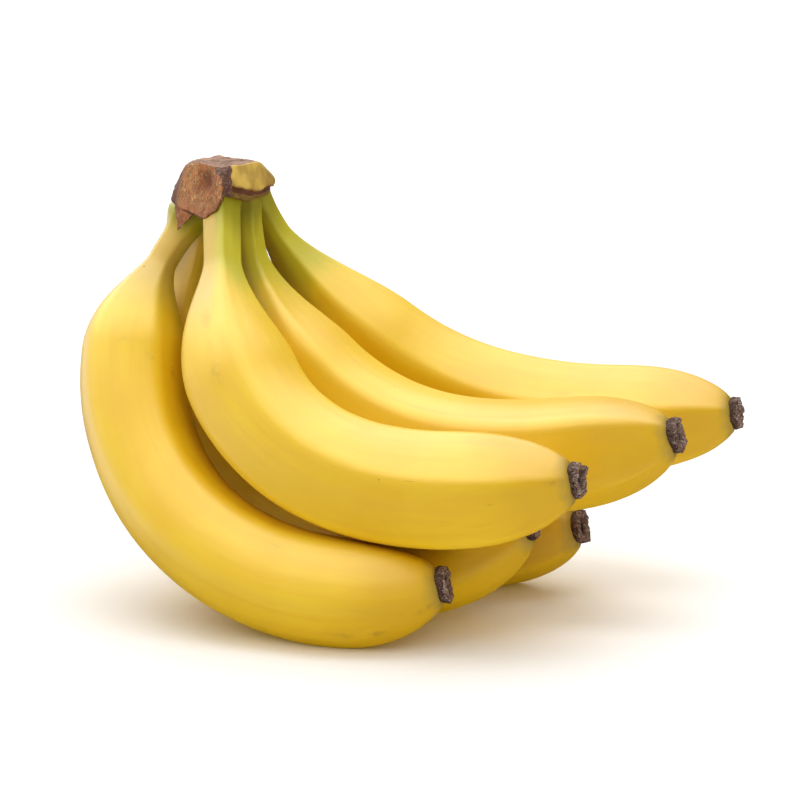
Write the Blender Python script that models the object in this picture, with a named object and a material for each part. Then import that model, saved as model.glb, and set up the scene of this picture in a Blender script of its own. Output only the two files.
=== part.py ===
"""A bunch of six bananas, lying on the three fingers of its lower row.

+X runs from the crown towards the tips, +Y away from the front and +Z up, in metres. The origin is on the
floor, under the middle of the bunch. Each finger is a tube of changing girth round a bent spine: a slim neck,
a shoulder, a five-sided body and a tapered tip with the dried end of the flower on it. The necks run
together in one woody crown, which keeps the first stretch of each of them.
"""

import math
from collections import namedtuple

import bmesh
import bpy
import numpy as np
from mathutils import Matrix, Vector

MM = 0.001

# The fingers, in millimetres and degrees. The root is where the spine leaves the heart of the crown. The
# heading is the plan direction of the whole finger, turned by `turn` from root to tip, and the lean tips the
# plane of its bend sideways. The pitches say how steeply the spine drops at each of the PITCH_PLACES.
Finger = namedtuple("Finger", "root heading turn lean pitches length girth neck shoulder")
PITCH_PLACES = (0.0, 0.2, 0.45, 0.72, 1.0)
FINGERS = {
    "outer_front": Finger(
        (-73.5, 24, 124.6), -16.2, -4, -24.5, (126.7, 95.5, 56.4, 19.3, -22.4),
        200, 16.7, 4.8, (18.6, 51.6),
    ),
    "inner_front": Finger(
        (-64.3, 16, 133), -11.5, -22.5, -27.5, (85.5, 83, 46, 3, -13.5),
        185, 18.1, 5.7, (25, 70),
    ),
    "inner_middle": Finger(
        (-58.3, 26.1, 134.4), -17.2, -5.4, -3.5, (92, 66.2, 29.3, -2.3, -17),
        195.2, 18, 5.8, (23, 71),
    ),
    "inner_back": Finger(
        (-56.4, 38, 131), -15.9, 4.7, 22.5, (71.3, 56.5, 28.4, 3, -10.9),
        195.8, 17.8, 4, (16.3, 71.4),
    ),
    "outer_middle": Finger(
        (-68.2, 34.1, 126.4), -29.5, 13, -8, (99, 94, 46, -4, -30),
        218, 16.7, 6, (15, 84),
    ),
    "outer_back": Finger(
        (-61.3, 45.8, 134.2), -19.5, -2, 5, (98.5, 81, 57.5, 10, -14.5),
        201.5, 18.2, 5.9, (22, 81),
    ),
}

# Each neck runs up to the height of the crown's heart, widens a little there, and belongs to the crown down
# to NECK_IN_CROWN below its root.
CROWN_HEART = 133.0
ROOT_SUNK = 1.0
NECK_IN_CROWN = 13.0
NECK_FLARE = 0.22

# The body narrows over its last stretch to the blunt end that carries the dried flower.
TIP_RADIUS = 5.3
TIP_TAPER = 42.0

# Five soft ridges run down each finger, as shares of its girth.
RIDGE_COUNT = 5
RIDGE_HEIGHT = 0.018

SIDES = 20
RING_SPACING = 7.5
TIP_RING_SPACING = 3.6
STUB_RINGS = 6

# The space between touching pieces, and the wider one that two fingers are pressed apart to.
GAP = 0.3
PRESS_GAP = 0.5

# The dried flower end, whose rim is ragged by a share of its size.
BLOSSOM_SIDES = 12
BLOSSOM_LENGTH = 2.8
BLOSSOM_RADIUS = 5.5
BLOSSOM_TAPER = 0.9
BLOSSOM_WALL = 0.28
BLOSSOM_HOLLOW = 1.1
BLOSSOM_RAG = 0.09

# Corners of the woody pad, in millimetres. It has two blocks: the one with the cut face, which hangs lower at
# the front, and the one under the patch of skin.
CUT_BLOCK = (
    (-74, 17.5, 142), (-68.5, 11.5, 142), (-63.5, 6.5, 141), (-61, 7.5, 141.5), (-58, 24.5, 141.5),
    (-67, 43, 142.5), (-73, 44, 140), (-73.5, 30.5, 142), (-76, 18.5, 140.5), (-78.5, 19.5, 135),
    (-63, 5, 136.5), (-79, 32, 136), (-80.5, 20.5, 130), (-78.5, 16.5, 128), (-72, 11.5, 125.5),
    (-69, 8, 124.5), (-64.5, 5.5, 127.5), (-63, 4.5, 131.5), (-62.5, 5.5, 133), (-82, 30, 129),
    (-77, 45, 127.5), (-66, 30.5, 126), (-60, 24.5, 130),
)
SKIN_BLOCK = (
    (-66, 9, 141.5), (-60.5, 7, 141.5), (-52.5, 12.5, 142.5), (-52, 33, 140.5), (-57, 45, 140.5),
    (-67, 43, 142.5), (-73, 44, 140), (-50, 15.5, 140), (-48.5, 18.5, 138), (-47.5, 20.5, 135),
    (-49, 14, 134.5), (-51.5, 10, 133), (-55.5, 7.5, 134), (-59.5, 6, 135.5), (-48, 35, 135.5),
    (-50.5, 49, 135), (-63, 54, 134.5), (-75, 49, 134), (-61.5, 7, 132), (-55, 9.5, 130),
    (-51, 13.5, 131), (-49.5, 31, 131), (-51, 45, 130), (-57, 53, 129), (-67, 53, 128),
    (-77, 45, 127.5),
)
# A torn tongue of skin hangs from the front corner, and the cut face beside it has a hollow.
TONGUE = ((-78.5, 16.5, 128.5), (-72.5, 13, 126), (-78, 15.5, 121.5), (-76.5, 19, 124.5))
HOLLOW_AT = (-69, 10.5, 136.5)
HOLLOW_SIZE = (3.4, 3.4, 4.6)
CROWN_BEVEL = 1.2
BEVELLED_FROM = 28.0
SHARP_FROM = 40.0

PEEL_COLOUR = (0.86, 0.58, 0.07)
CROWN_COLOUR = (0.30, 0.15, 0.07)
BLOSSOM_COLOUR = (0.07, 0.035, 0.025)


def clear_scene():
    for item in list(bpy.data.objects):
        bpy.data.objects.remove(item, do_unlink=True)


def material(name, colour, roughness):
    made = bpy.data.materials.new(name)
    made.use_nodes = True
    shader = made.node_tree.nodes["Principled BSDF"]
    shader.inputs["Base Color"].default_value = (*colour, 1.0)
    shader.inputs["Roughness"].default_value = roughness
    shader.inputs["Metallic"].default_value = 0.0
    return made


def natural_spline(knots, values, places):
    """Read the natural cubic spline through the values at each of the places."""
    knots = np.asarray(knots, float)
    values = np.asarray(values, float)
    step = np.diff(knots)
    slope = np.diff(values) / step
    system = np.eye(len(knots))
    right = np.zeros(len(knots))
    for k in range(1, len(knots) - 1):
        system[k, k - 1:k + 2] = step[k - 1], 2.0 * (step[k - 1] + step[k]), step[k]
        right[k] = 6.0 * (slope[k] - slope[k - 1])
    bend = np.linalg.solve(system, right)
    span = np.clip(np.searchsorted(knots, places, side="right") - 1, 0, len(knots) - 2)
    width = step[span]
    near = places - knots[span]
    far = knots[span + 1] - places
    cubic = (bend[span] * far ** 3 + bend[span + 1] * near ** 3) / (6.0 * width)
    left = (values[span] / width - bend[span] * width / 6.0) * far
    return cubic + left + (values[span + 1] / width - bend[span + 1] * width / 6.0) * near


class Spine:
    """The bent axis of a finger, read every millimetre: its centres, its directions and its radii."""

    def __init__(self, finger):
        self.finger = finger
        count = round(finger.length) + 1
        self.run = np.linspace(0.0, finger.length, count)
        part = self.run / finger.length
        heading = np.radians(finger.heading + finger.turn * (part - 0.5))
        pitch = np.radians(natural_spline(PITCH_PLACES, finger.pitches, part))
        lean = math.radians(finger.lean)
        ahead = np.stack([np.cos(heading), np.sin(heading), np.zeros(count)], axis=1)
        across = np.stack([-np.sin(heading), np.cos(heading), np.zeros(count)], axis=1)
        down = across * math.sin(lean) - np.array([0.0, 0.0, math.cos(lean)])
        self.along = np.cos(pitch)[:, None] * ahead + np.sin(pitch)[:, None] * down
        self.side = np.cross(ahead, down)
        self.out = np.cross(self.along, self.side)
        middles = (self.along[1:] + self.along[:-1]) / 2.0
        steps = np.cumsum(middles, axis=0) * (finger.length / (count - 1))
        self.centre = np.array(finger.root) + np.vstack([np.zeros(3), steps])
        self.reach_back()
        self.radius = self.girth_at(self.run)

    def reach_back(self):
        """Carry the spine on, straight, behind its root and up to the heart of the crown."""
        reach = max((self.centre[0][2] - CROWN_HEART) / self.along[0][2], ROOT_SUNK)
        first = self.centre[0] - self.along[0] * reach
        self.run = np.insert(self.run, 0, -reach)
        self.centre = np.vstack([first, self.centre])
        self.along = np.vstack([self.along[0], self.along])
        self.side = np.vstack([self.side[0], self.side])
        self.out = np.vstack([self.out[0], self.out])

    def girth_at(self, run):
        start, end = self.finger.shoulder
        swell = np.clip((run - start) / (end - start), 0.0, 1.0)
        body = self.finger.neck + (self.finger.girth - self.finger.neck) * (1.0 - (1.0 - swell ** 1.5) ** 2.2)
        close = np.clip((self.finger.length - run) / TIP_TAPER, 0.0, 1.0)
        flare = 1.0 + NECK_FLARE * np.clip(1.0 - run / NECK_IN_CROWN, 0.0, 1.0) ** 2
        return (TIP_RADIUS + (body - TIP_RADIUS) * (1.0 - (1.0 - close ** 0.8) ** 2.3)) * flare

    def read(self, values, run):
        return np.array([np.interp(run, self.run, values[:, k]) for k in range(3)])

    def point(self, run, angle, radius):
        """The point at this angle round the spine, where zero is square to the plane of the bend."""
        side = self.read(self.side, run)
        out = self.read(self.out, run)
        return self.read(self.centre, run) + radius * (math.cos(angle) * side + math.sin(angle) * out)


def ring_places(start, end):
    """Ring stations along a finger, closer together on the tapered tip."""
    taper = end - TIP_TAPER
    body_rings = max(2, round((taper - start) / RING_SPACING))
    tip_rings = round(TIP_TAPER / TIP_RING_SPACING)
    body = np.linspace(start, taper, body_rings, endpoint=False)
    return [float(v) for v in (*body, *np.linspace(taper, end, tip_rings + 1))]


def tube(spine, places, ridge):
    """Extrude a ring along the spine, set each of its rings to the section there, and close both ends."""
    mesh = bmesh.new()
    bmesh.ops.create_circle(mesh, segments=SIDES, radius=1.0)
    edges = list(mesh.edges)
    rings = [list(mesh.verts)]
    for _ in places[1:]:
        grown = bmesh.ops.extrude_edge_only(mesh, edges=edges)["geom"]
        rings.append([item for item in grown if isinstance(item, bmesh.types.BMVert)])
        ring = set(rings[-1])
        edges = [item for item in grown if isinstance(item, bmesh.types.BMEdge)]
        edges = [edge for edge in edges if ring.issuperset(edge.verts)]
    for run, ring in zip(places, rings):
        radius = float(np.interp(run, spine.run, spine.radius))
        for vert in ring:
            angle = math.atan2(vert.co.y, vert.co.x)
            section = radius * (1.0 + ridge * math.cos(RIDGE_COUNT * angle))
            vert.co = Vector(spine.point(run, angle, section))
    bmesh.ops.holes_fill(mesh, edges=mesh.edges, sides=0)
    bmesh.ops.recalc_face_normals(mesh, faces=mesh.faces)
    return mesh


def press_apart(point, own, spines):
    """Where two fingers lean on each other, both are pressed flat, with a thin gap between them."""
    for spine in spines:
        if spine is own:
            continue
        away = point - spine.centre
        distance = np.linalg.norm(away, axis=1)
        clear = distance - spine.radius
        k = int(np.argmin(clear))
        if clear[k] < PRESS_GAP:
            point = point + away[k] / distance[k] * (PRESS_GAP - clear[k]) / 2.0
    return point


def finish(mesh, name, look):
    """Make the object, in metres, with smooth faces and a sharp rim where it was broken off."""
    bmesh.ops.transform(mesh, matrix=Matrix.Scale(MM, 4), verts=mesh.verts)
    data = bpy.data.meshes.new(name)
    mesh.to_mesh(data)
    mesh.free()
    data.shade_smooth()
    data.set_sharp_from_angle(angle=math.radians(SHARP_FROM))
    made = bpy.data.objects.new(name, data)
    bpy.context.scene.collection.objects.link(made)
    made.data.materials.append(look)
    return made


def make_finger(name, spine, spines, look):
    """A finger from the crown's neck stub to its blunt end, flat where it stands on the floor."""
    places = ring_places(NECK_IN_CROWN + GAP / 2.0, spine.finger.length)
    mesh = tube(spine, places, RIDGE_HEIGHT)
    for vert in mesh.verts:
        vert.co = Vector(press_apart(np.array(vert.co), spine, spines))
        vert.co.z = max(vert.co.z, 0.0)
    return finish(mesh, "finger_" + name, look)


def make_blossom_end(name, spine, order, look):
    """The dried flower end: a short ragged plug with a hollow in its outer face."""
    mesh = bmesh.new()
    bmesh.ops.create_cone(
        mesh, cap_ends=True, segments=BLOSSOM_SIDES, radius1=1.0, radius2=BLOSSOM_TAPER, depth=1.0,
    )
    outer = max(mesh.faces, key=lambda face: face.calc_center_median().z)
    bmesh.ops.inset_region(mesh, faces=[outer], thickness=BLOSSOM_WALL)
    for vert in outer.verts:
        vert.co.z -= BLOSSOM_HOLLOW / BLOSSOM_LENGTH
    end = spine.finger.length
    along = spine.along[-1]
    for vert in mesh.verts:
        angle = math.atan2(vert.co.y, vert.co.x)
        rise = vert.co.z + 0.5
        wide = 1.0 + BLOSSOM_RAG * math.sin(3.0 * angle + order) * rise
        tall = 1.0 + BLOSSOM_RAG * math.cos(2.0 * angle + order)
        radius = math.hypot(vert.co.x, vert.co.y) * BLOSSOM_RADIUS * wide
        height = GAP + rise * BLOSSOM_LENGTH * tall
        vert.co = Vector(spine.point(end, angle, radius) + along * height)
    return finish(mesh, "blossom_end_" + name, look)


def hull(corners):
    mesh = bmesh.new()
    for corner in corners:
        mesh.verts.new(corner)
    made = bmesh.ops.convex_hull(mesh, input=mesh.verts)
    loose = [item for item in made["geom_interior"] if isinstance(item, bmesh.types.BMVert)]
    bmesh.ops.delete(mesh, geom=loose, context="VERTS")
    bmesh.ops.recalc_face_normals(mesh, faces=mesh.faces)
    return mesh


def worn_block(name, corners, look):
    """A block of the crown, with its edges worn round."""
    block = finish(hull(corners), name, look)
    bevel = block.modifiers.new("worn edges", "BEVEL")
    bevel.width = CROWN_BEVEL * MM
    bevel.segments = 2
    bevel.limit_method = "ANGLE"
    bevel.angle_limit = math.radians(BEVELLED_FROM)
    return block


def make_crown(spines, look):
    """Join the woody pad, its torn tongue and the stubs of the necks, then sink the hollow of the cut."""
    crown = worn_block("crown", CUT_BLOCK, look)
    group = bpy.data.collections.new("crown stubs")
    stubs = [worn_block("skin_block", SKIN_BLOCK, look), finish(hull(TONGUE), "tongue", look)]
    for name, spine in spines.items():
        places = [float(v) for v in np.linspace(spine.run[0], NECK_IN_CROWN - GAP / 2.0, STUB_RINGS)]
        stubs.append(finish(tube(spine, places, 0.0), "stub_" + name, look))
    for stub in stubs:
        group.objects.link(stub)
    join = crown.modifiers.new("necks", "BOOLEAN")
    join.operation = "UNION"
    join.operand_type = "COLLECTION"
    join.collection = group
    join.solver = "EXACT"
    hollow = bmesh.new()
    bmesh.ops.create_uvsphere(hollow, u_segments=16, v_segments=10, radius=1.0)
    place = Matrix.Translation(HOLLOW_AT) @ Matrix.Diagonal((*HOLLOW_SIZE, 1.0))
    bmesh.ops.transform(hollow, matrix=place, verts=hollow.verts)
    cutter = finish(hollow, "hollow", look)
    cut = crown.modifiers.new("hollow", "BOOLEAN")
    cut.operation = "DIFFERENCE"
    cut.object = cutter
    cut.solver = "EXACT"
    bake(crown)
    for spare in stubs + [cutter]:
        bpy.data.objects.remove(spare, do_unlink=True)
    bpy.data.collections.remove(group)
    return crown


def bake(item):
    """Keep the shape that the modifiers give, so that their helpers can go."""
    bpy.context.view_layer.update()
    seen = item.evaluated_get(bpy.context.evaluated_depsgraph_get())
    data = bpy.data.meshes.new_from_object(seen)
    item.modifiers.clear()
    item.data = data
    item.data.shade_smooth()
    item.data.set_sharp_from_angle(angle=math.radians(SHARP_FROM))


def main():
    clear_scene()
    spines = {name: Spine(finger) for name, finger in FINGERS.items()}
    make_crown(spines, material("crown", CROWN_COLOUR, 0.8))
    peel = material("peel", PEEL_COLOUR, 0.42)
    dried = material("blossom end", BLOSSOM_COLOUR, 0.85)
    for order, (name, spine) in enumerate(spines.items()):
        make_finger(name, spine, spines.values(), peel)
        make_blossom_end(name, spine, order, dried)


main()
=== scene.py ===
"""The looks of a bunch of six ripe bananas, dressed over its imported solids.

Each finger, the woody crown and each dried flower end gets a finer piece with its own procedural finish.
Shapes are worked out in millimetres and scaled to metres at the end. A finger is a tube round a bent spine,
from the heart of the crown to the blunt tip, with five soft ridges.
"""

import math
from collections import namedtuple

import bmesh
import bpy
import numpy as np
from mathutils import Matrix, Vector, noise


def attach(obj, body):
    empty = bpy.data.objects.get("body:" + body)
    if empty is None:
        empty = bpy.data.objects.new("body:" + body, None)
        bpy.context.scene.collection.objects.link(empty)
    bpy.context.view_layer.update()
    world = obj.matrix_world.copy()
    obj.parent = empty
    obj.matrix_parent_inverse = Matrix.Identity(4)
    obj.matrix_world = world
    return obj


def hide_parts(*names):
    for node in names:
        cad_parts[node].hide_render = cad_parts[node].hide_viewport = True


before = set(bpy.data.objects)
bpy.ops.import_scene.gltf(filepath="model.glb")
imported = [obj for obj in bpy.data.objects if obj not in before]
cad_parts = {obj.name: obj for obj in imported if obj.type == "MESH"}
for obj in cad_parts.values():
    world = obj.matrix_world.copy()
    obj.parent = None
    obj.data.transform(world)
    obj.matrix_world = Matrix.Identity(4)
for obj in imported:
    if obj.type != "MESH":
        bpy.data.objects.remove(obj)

MM = 0.001


def from_screen(red, green, blue):
    """The linear colour of a screen colour given in 0 to 255."""
    parts = []
    for part in (red, green, blue):
        share = part / 255.0
        parts.append(share / 12.92 if share < 0.04045 else ((share + 0.055) / 1.055) ** 2.4)
    return (*parts, 1.0)


# The fingers, in millimetres and degrees. The root is where the spine leaves the heart of the crown. The
# heading is the plan direction of the whole finger, turned by `turn` from root to tip, and the lean tips the
# plane of its bend sideways. The pitches say how steeply the spine drops at each of the PITCH_PLACES. One
# of the ridges runs at the angle `ridge` round the spine, and at `neck_ridge` where it leaves the crown.
Finger = namedtuple("Finger", "root heading turn lean pitches length girth neck shoulder ridge neck_ridge")
PITCH_PLACES = (0.0, 0.2, 0.45, 0.72, 1.0)
FINGERS = {
    "outer_front": Finger(
        (-73.5, 24, 124.6), -16.2, -4, -24.5, (126.7, 95.5, 56.4, 16.3, -16.5),
        200, 16.9, 4.8, (18.6, 51.6), 136, 138,
    ),
    "inner_front": Finger(
        (-64.3, 16, 133), -11.5, -22.5, -27.5, (85.5, 83, 45, 2.6, -13.5),
        184.4, 17.6, 5.7, (25, 68), 168, 176,
    ),
    "inner_middle": Finger(
        (-58.3, 26.1, 134.4), -17.2, -5.4, -3.5, (92, 66.2, 29.3, -2.3, -17),
        195.2, 17.7, 5.8, (23, 71), 141, 128,
    ),
    "inner_back": Finger(
        (-56.4, 38, 131), -15.9, 4.7, 22.5, (71.3, 56.5, 30.2, 3, -10.9),
        195.8, 17.8, 4.8, (16.3, 71.4), 136, 132,
    ),
    "outer_middle": Finger(
        (-68.2, 34.1, 126.4), -29.5, 13, -8, (104, 94, 46, -4, -30),
        219.5, 16.7, 6.6, (15, 84), 142, 150,
    ),
    "outer_back": Finger(
        (-61.3, 45.8, 134.2), -19.5, -2, 5, (98.5, 81, 57.5, 10, -14.5),
        201.5, 18.2, 5.9, (22, 81), 138, 140,
    ),
}

CROWN_HEART = 133.0
ROOT_SUNK = 1.0
NECK_IN_CROWN = 13.0
NECK_FLARE = 0.22
TIP_RADIUS = 5.3
TIP_TAPER = 42.0
SHOULDER_POWERS = (1.5, 2.2)
TIP_POWERS = (0.8, 2.3)

# The ridges stand out most on the neck and on the tapered tip. Past the neck, those of one finger also turn
# round it, by BODY_TWIST degrees in all.
RIDGE_COUNT = 5
RIDGE_ON_NECK = 0.06
RIDGE_ON_BODY = 0.034
RIDGE_ON_TIP = 0.038
RIDGE_EDGE = 0.26
RIDGE_CREST = 0.08
RIDGE_SHARE = {
    "outer_front": 0.8, "inner_front": 1.1, "inner_middle": 1.5, "inner_back": 1.6,
    "outer_middle": 1.1, "outer_back": 1.2,
}
NECK_TWIST_RUN = 52.0
BODY_TWIST = {"inner_front": 24.0}

SIDES = 75
RING_SPACING = 1.6
TIP_RING_SPACING = 1.1
UNEVEN = 0.28
UNEVEN_SIZE = 26.0
UNEVEN_FROM = (0.0, 60.0)
PRESS_GAP = 0.12
PATTERN_SHIFT = 100.0

# Smudges and bruises, each at a run and an angle on its finger, with its half length and half width in
# millimetres and its strength.
MARKS = {
    "outer_front": (
        (182, 248, 1.8, 1.0, 0.9), (173, 246, 3.5, 1.6, 0.35), (50, 170, 1.4, 0.8, 0.6),
        (56, 140, 1.6, 0.7, 0.5), (61, 110, 1.2, 0.8, 0.5), (196, 236, 2.2, 0.9, 0.6),
        (195, 275, 2.0, 0.8, 0.6),
    ),
    "inner_front": (
        (159, 136, 9.0, 0.7, 0.35), (180, 110, 3.0, 0.7, 0.4), (181, 196, 2.4, 0.8, 0.5),
        (47, 200, 3.2, 1.8, 0.3), (66, 198, 3.4, 2.0, 0.3),
    ),
    "inner_middle": ((120, 150, 3.0, 0.8, 0.3), (80, 110, 2.0, 1.0, 0.3)),
    "inner_back": ((140, 120, 3.0, 0.8, 0.3), (95, 60, 4.0, 1.5, 0.4)),
    "outer_middle": ((120, 300, 4.0, 1.4, 0.5), (60, 250, 3.0, 1.2, 0.4)),
    "outer_back": ((110, 40, 4.0, 1.3, 0.5), (150, 20, 2.4, 1.0, 0.5), (70, 320, 3.0, 1.5, 0.4)),
}

# How much less of the neck is green on the riper fingers, in millimetres.
RIPER_BY = {"outer_middle": 45.0, "outer_front": 7.0}

# The left sides of the necks get painted light, a paler tan, on the two front fingers, and painted shade,
# olive-brown, on the others, where the fingers beside them shade them: how far round each goes, as a share
# of the radius, where it ends along the finger, and how strong it is.
PAINTED_LIT_NECKS = ("outer_front", "inner_front")
LEFT_SIDES = {
    "outer_front": ((-1.25, -0.55), 34.0, 1.0),
    "inner_front": ((0.1, 0.5), 48.0, 0.9),
    "inner_middle": ((-0.35, 0.35), 54.0, 1.0),
    "inner_back": ((-0.3, 0.45), 54.0, 1.0),
    "outer_middle": ((0.2, 1.0), 30.0, 1.0),
    "outer_back": ((0.2, 1.0), 30.0, 1.0),
}

# Where those colours start below the crown, and how they fade round their end, in millimetres.
LEFT_SIDE_START = (3.0, 11.0)
COLLAR_FADE = (-14.0, 6.0)

# The front neck's cut top stands out as a nub beside the crown: its run, its angle in degrees and its
# height.
NUB = (2.5, 244.0, 3.2)
NUB_LENGTH = 4.0
NUB_WIDTH = 34.0

# Between these heights the necks narrow, inside the crown, so that they don't show in its hollow.
HIDDEN_NECK = (130.0, 133.5)
HIDDEN_SHRINK = 0.4

# The dried flower ends: the rings of the profile, as (share of the radius, height in millimetres), from
# where it sits on the tip, up the outside, over the rim and down into the hollow.
BLOSSOM_PROFILE = (
    (0.92, -0.8), (1.0, -0.1), (1.05, 0.5), (1.05, 1.1), (1.03, 1.7), (0.99, 2.3), (0.92, 2.7), (0.82, 2.75),
    (0.72, 2.4), (0.60, 2.0), (0.46, 1.6), (0.30, 1.4), (0.14, 1.5),
)
BLOSSOM_RADIUS = 5.3
BLOSSOM_SIDES = 60
BLOSSOM_RIM = (5, 8)
BLOSSOM_RAG = 0.6
BLOSSOM_CRUMPLE = 0.5
BLOSSOM_LOBES = 0.16
BLOSSOM_RAGS = 0.10
CRUMPLE_SEED = 1

# A leftover spike on each rim: its angle, its height and its half width in degrees.
SPIKES = {
    "outer_front": (200, 0.5, 30),
    "inner_front": (62, 2.0, 20),
    "inner_middle": (84, 1.4, 30),
    "inner_back": (110, 1.2, 22),
    "outer_middle": (150, 0.9, 25),
    "outer_back": (70, 1.1, 26),
}

# Corners of the woody pad, in millimetres. It has two blocks: the one with the cut face, which hangs lower
# at the front, and the one under the patch of skin. A torn tongue of skin hangs from the front corner.
CUT_BLOCK = (
    (-74, 17.5, 142), (-68.5, 11.5, 142), (-63.5, 6.5, 141), (-61, 7.5, 141.5), (-58, 24.5, 141.5),
    (-67, 43, 142.5), (-73, 44, 140), (-73.5, 30.5, 142), (-76, 18.5, 140.5), (-78.5, 19.5, 135),
    (-63, 5, 136.5), (-79, 32, 136), (-80.5, 20.5, 130), (-78.5, 16.5, 128), (-72, 11.5, 125.5),
    (-69, 8, 124.5), (-64.5, 5.5, 127.5), (-63, 4.5, 131.5), (-62.5, 5.5, 133), (-82, 30, 129),
    (-77, 45, 127.5), (-66, 30.5, 126), (-60, 24.5, 130),
)
SKIN_BLOCK = (
    (-66, 9, 141.5), (-60.5, 7, 141.5), (-52.5, 12.5, 142.5), (-52, 33, 140.5), (-57, 45, 140.5),
    (-67, 43, 142.5), (-73, 44, 140), (-50, 15.5, 140), (-48.5, 18.5, 138), (-47.5, 20.5, 135),
    (-49, 14, 134.5), (-51.5, 10, 133), (-55.5, 7.5, 134), (-59.5, 6, 135.5), (-48, 35, 135.5),
    (-50.5, 49, 135), (-63, 54, 134.5), (-75, 49, 134), (-61.5, 7, 132), (-55, 9.5, 130),
    (-51, 13.5, 131), (-49.5, 31, 131), (-51, 45, 130), (-57, 53, 129), (-67, 53, 128),
    (-77, 45, 127.5),
)
TONGUE = ((-79.5, 17, 128.5), (-72, 13, 126), (-78.4, 15.5, 119.8), (-77, 19, 124))
HOLLOW_AT = Vector((-69.0, 10.5, 136.5))
HOLLOW_WIDTH = 4.0
HOLLOW_DEPTH = 2.2
CROWN_GRAIN = 0.4
CROWN_SMOOTHINGS = 3

# How far the finishes of the crown stand out or lie sunk, and how wide their lumps and fibres are.
LUMP = 0.4
LUMP_SIZE = 4.5
WOOD_LUMP = 0.35
WOOD_LUMP_SIZE = 1.9
FIBRE = 0.45
FIBRE_SIZE = 1.4
FIBRE_SUNK = 0.15
GROOVE = 0.14
GROOVE_TURN = 1.1
SKIN_RAISED = 0.2
MARGIN_SUNK = 0.6
STRIP_SUNK = 0.1

# Where the finishes of the crown meet, by the turn round its axis in degrees (-90 is the front) and the
# height in millimetres. The band beside the cut face is wider at its top.
CROWN_AXIS = Vector((-62.0, 30.5, 133.0))
CUT_FROM = -187.0
RIM_TO = -140.0
CUT_TO = -92.2
BAND_CORNER = 6.5
BAND_CORNER_HEIGHTS = (136.5, 141.5)
LOW_CUT_HEIGHT = 130.5
LOW_CUT_FRONT = -63.0
SKIN_FROM = -85.0
SKIN_TO = 118.0
SKIN_FOOT = ((-86, 135.4), (-74, 133.9), (-63, 133.1), (-52, 134.3), (0, 134), (118, 134))
MARGIN_FOOT = ((-86, 133.3), (-73, 131.8), (-59, 131.9), (-40, 132.2), (118, 132))
WORN_TURNS = (-62.0, -48.0)
TOP_FACES_UP = 0.72
TOP_EDGE = 0.1
TOP_OVER_SKIN = 0.14

PEEL_LIGHT = from_screen(234, 194, 22)
PEEL_DEEP = from_screen(228, 182, 4)
PEEL_WARM = from_screen(224, 172, 10)
# Painted highlight: the lighter yellow laid along the crests of the ridges.
PEEL_RIDGE_HIGHLIGHT = from_screen(240, 204, 50)
NECK_YELLOW = from_screen(220, 194, 46)
NECK_GREEN = from_screen(184, 176, 32)
NECK_OLIVE = from_screen(146, 138, 14)
NECK_SHADE = from_screen(134, 104, 10)
# Painted light: the paler tan of the left sides of the two front necks.
NECK_LIT_TAN = from_screen(208, 168, 72)
TIP_GREEN = from_screen(210, 163, 2)
TIP_HALO = from_screen(136, 122, 66)
BRUISE = from_screen(150, 110, 40)
FLECK = from_screen(120, 84, 30)
WOOD_SALMON = from_screen(196, 126, 82)
WOOD_ORANGE = from_screen(216, 128, 60)
WOOD_BROWN = from_screen(178, 100, 54)
WOOD_DARK = from_screen(124, 62, 34)
WOOD_GOLD = from_screen(255, 214, 142)
WOOD_RED = from_screen(122, 56, 30)
WOOD_RIM = from_screen(94, 58, 48)
WOOD_SHADE = from_screen(74, 44, 32)
RIND_DARK = from_screen(118, 82, 68)
RIND_ASH = from_screen(164, 134, 118)
TOP_PINK = from_screen(186, 140, 118)
SKIN_YELLOW = from_screen(212, 178, 82)
SKIN_OLIVE = from_screen(172, 138, 58)
SKIN_TAN = from_screen(196, 158, 84)
SKIN_WORN = from_screen(140, 104, 50)
MARGIN_RED = from_screen(124, 82, 62)
MARGIN_DARK = from_screen(108, 64, 44)
STRIP_OLIVE = from_screen(150, 120, 52)
BLOSSOM_DARK = from_screen(52, 32, 24)
BLOSSOM_BROWN = from_screen(88, 56, 42)
BLOSSOM_MAUVE = from_screen(134, 100, 84)
BLOSSOM_ASH = from_screen(214, 190, 172)
BLOSSOM_HOLE_SHADE = from_screen(30, 20, 16)

# Where the colours of the peel fade along a finger, in millimetres: from gone to full.
NECK_YELLOW_RUN = (62.0, 30.0)
NECK_GREEN_RUN = (45.0, 30.0)
NECK_OLIVE_RUN = (24.0, 12.0)
TIP_GREEN_RUN = (40.0, 10.0)
TIP_HALO_RUN = (5.0, 0.6)

# Where the cut face of the crown fades, by its height in millimetres: from gone to full.
SALMON_HEIGHTS = (133.5, 128.0)
FIBRE_HEIGHTS = (126.5, 131.5)

PEEL_ROUGHNESS = 0.42
CROWN_ROUGHNESS = 0.82
SKIN_SMOOTHER = -0.3
PORE_DEPTH = 0.0002
FIBRE_DEPTH = 0.0004

FLOOR_HALF = 30.0
FLOOR_COLOUR = (0.97, 0.97, 0.97, 1.0)
SKY_STRENGTH = 0.05
SKY_IN_GLOSS = 0.0
BACKDROP_STRENGTH = 1.05

# The large soft lamps: where each comes from, its angular size in degrees and its strength. Those in the
# first table light the matt colour alone, and those in the second shine in the gloss alone.
SOFT_LIGHTS = {
    "back light": ((0.0, 0.45, 0.88), 80.0, 2.05),
    "front light": ((-0.1, -0.5, 0.86), 80.0, 1.7),
    "right light": ((0.85, -0.25, 0.5), 110.0, 0.8),
    "light thrown up by the table": ((0.2, 0.0, -1.0), 70.0, 0.45),
}
SHINES = {
    "shine from above": ((-0.2, 0.1, 0.97), 100.0, 8.6),
    "shine from the left": ((-0.95, 0.25, 0.3), 90.0, 4.0),
}

CAMERA_TARGET = Vector((-0.0067, 0.029, 0.0625))
CAMERA_ELEVATION = 10.0
CAMERA_DISTANCE = 0.7006
CAMERA_LENS = 94.7


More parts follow.
